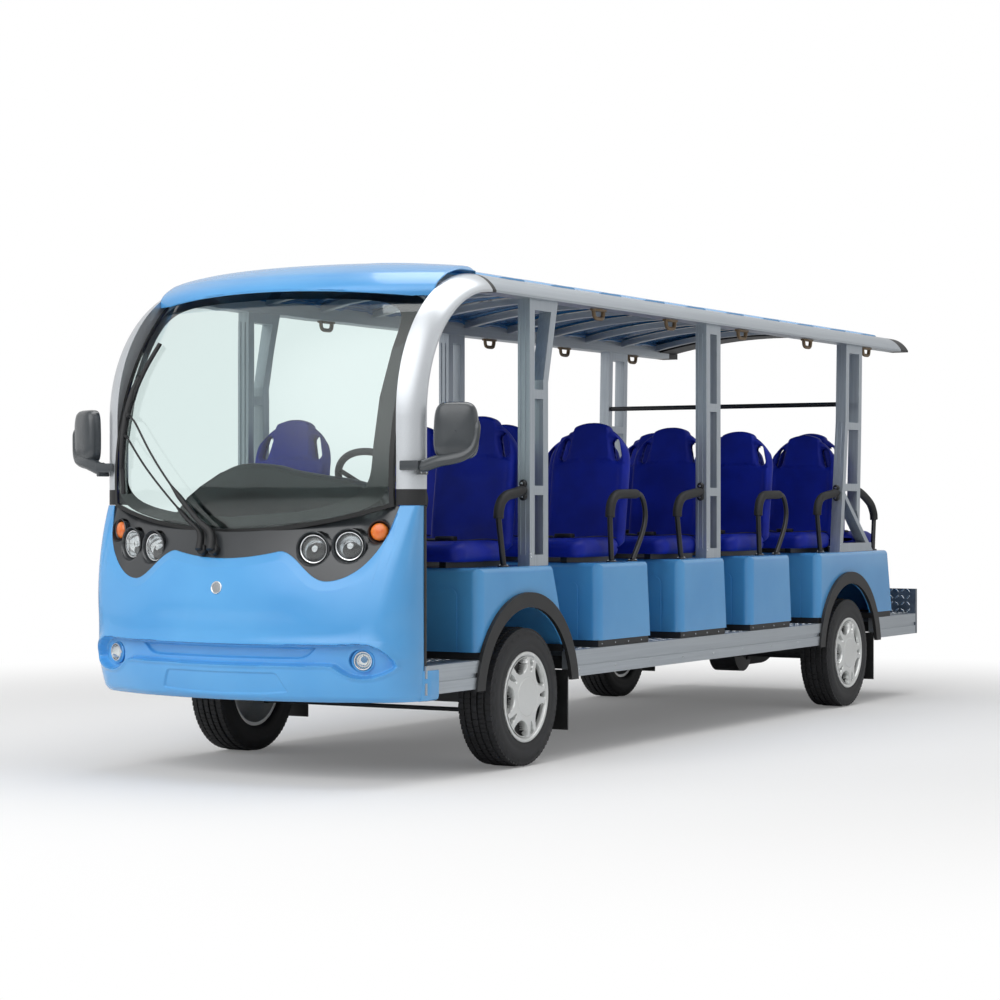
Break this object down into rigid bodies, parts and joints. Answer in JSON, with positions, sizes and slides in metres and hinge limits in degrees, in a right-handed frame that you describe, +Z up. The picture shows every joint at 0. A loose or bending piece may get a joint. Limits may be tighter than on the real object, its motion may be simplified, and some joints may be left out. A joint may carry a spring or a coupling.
{
  "type": "electric sightseeing bus",
  "caption": "Open-sided electric shuttle bus with a rounded nose, curved windscreen, pillar-held ribbed roof, box seat bases with moulded seats, and steered front wheels.",
  "frame": {"origin": "ground level under the middle of the overall box", "axes": "front faces -Y, +X is the left side of the bus, +Z up"},
  "size_m": [1.9244, 5.54, 2.037],
  "materials": {
    "frame_paint": "satin black chassis paint",
    "tread_plate": "diamond tread plate",
    "sill_alloy": "drawn alloy, satin",
    "body_paint": "sky blue gloss gel coat",
    "black_plastic": "grained black plastic",
    "grey_plastic": "dark grey gloss",
    "glass": "clear laminated glass",
    "black_rubber": "black rubber",
    "pillar_silver": "silver paint",
    "black_tube": "black powder coat",
    "seat_vinyl": "royal blue grained vinyl",
    "handle_plastic": "brown plastic",
    "mirror": "mirror glass",
    "lamp_chrome": "bright reflector under clear lens",
    "amber_lens": "amber lens",
    "red_lens": "red lens",
    "battery_case": "plain case",
    "tyre_rubber": "black tyre rubber",
    "wheel_silver": "silver white paint"
  },
  "bodies": {
    "chassis": {"chassis_frame": "frame_paint", "floor_deck": "tread_plate", "side_sills": "sill_alloy", "front_seat_base": "body_paint", "middle_seat_bases": "body_paint", "rear_seat_base": "body_paint", "base_plinths": "black_plastic", "arch_flares": "black_plastic", "front_cowl": "body_paint", "lamp_mask": "grey_plastic", "windscreen": "glass", "windscreen_seal": "black_rubber", "front_pillars": "pillar_silver", "pillar_sockets": "black_plastic", "front_roof_cap": "body_paint", "roof_panels": "body_paint", "roof_side_rails": "sill_alloy", "roof_bows": "sill_alloy", "rear_roof_cap": "grey_plastic", "front_posts": "sill_alloy", "middle_posts": "sill_alloy", "rear_posts": "sill_alloy", "rear_cross_bar": "black_tube", "seat_cushions": "seat_vinyl", "seat_backs": "seat_vinyl", "seat_frames": "black_tube", "arm_rails": "black_tube", "grab_handles": "handle_plastic", "mirror_housings": "grey_plastic", "mirror_glasses": "mirror", "wiper": "black_plastic", "headlamps": "lamp_chrome", "turn_signals": "amber_lens", "fog_lamps": "lamp_chrome", "tail_lamps": "red_lens", "dashboard": "black_plastic", "steering_column": "black_plastic", "rear_step": "tread_plate", "mud_flaps": "black_rubber", "front_axle": "frame_paint", "rear_axle": "frame_paint", "leaf_springs": "frame_paint", "battery_blocks": "battery_case"},
    "steering_wheel": {"steering_wheel": "black_plastic"},
    "left_knuckle": {"left_knuckle": "frame_paint"},
    "right_knuckle": {"right_knuckle": "frame_paint"},
    "tie_rod": {"tie_rod": "frame_paint"},
    "front_left_wheel": {"tyre_front_left": "tyre_rubber", "wheel_front_left": "wheel_silver"},
    "front_right_wheel": {"tyre_front_right": "tyre_rubber", "wheel_front_right": "wheel_silver"},
    "rear_left_wheel": {"tyre_rear_left": "tyre_rubber", "wheel_rear_left": "wheel_silver"},
    "rear_right_wheel": {"tyre_rear_right": "tyre_rubber", "wheel_rear_right": "wheel_silver"}
  },
  "joints": [
    {"name": "left_steer", "type": "hinge", "parent": "chassis", "child": "left_knuckle", "pos_m": [0.6, -1.67, 0.28], "axis": [0, 0, 1], "range_deg": [-30, 30]},
    {"name": "right_steer", "type": "hinge", "parent": "chassis", "child": "right_knuckle", "pos_m": [-0.6, -1.67, 0.28], "axis": [0, 0, 1], "range_deg": [-30, 30]},
    {"name": "tie_rod_pivot", "type": "hinge", "parent": "left_knuckle", "child": "tie_rod", "pos_m": [0.6, -1.57, 0.208], "axis": [0, 0, 1], "range_deg": [-30, 30]},
    {"name": "steering_wheel_turn", "type": "hinge", "parent": "chassis", "child": "steering_wheel", "pos_m": [0.427, -2.27, 1.12], "axis": [0, 0.7431, 0.6691], "range_deg": [-450, 450]},
    {"name": "front_left_spin", "type": "hinge", "parent": "left_knuckle", "child": "front_left_wheel", "pos_m": [0.652, -1.67, 0.28], "axis": [1, 0, 0], "continuous": true},
    {"name": "front_right_spin", "type": "hinge", "parent": "right_knuckle", "child": "front_right_wheel", "pos_m": [-0.652, -1.67, 0.28], "axis": [1, 0, 0], "continuous": true},
    {"name": "rear_left_spin", "type": "hinge", "parent": "chassis", "child": "rear_left_wheel", "pos_m": [0.652, 1.77, 0.28], "axis": [1, 0, 0], "continuous": true},
    {"name": "rear_right_spin", "type": "hinge", "parent": "chassis", "child": "rear_right_wheel", "pos_m": [-0.652, 1.77, 0.28], "axis": [1, 0, 0], "continuous": true}
  ],
  "couplings": [
    {"joint": "right_steer", "follows": "left_steer", "ratio": 1},
    {"joint": "tie_rod_pivot", "follows": "left_steer", "ratio": -1},
    {"joint": "steering_wheel_turn", "follows": "left_steer", "ratio": 15}
  ]
}
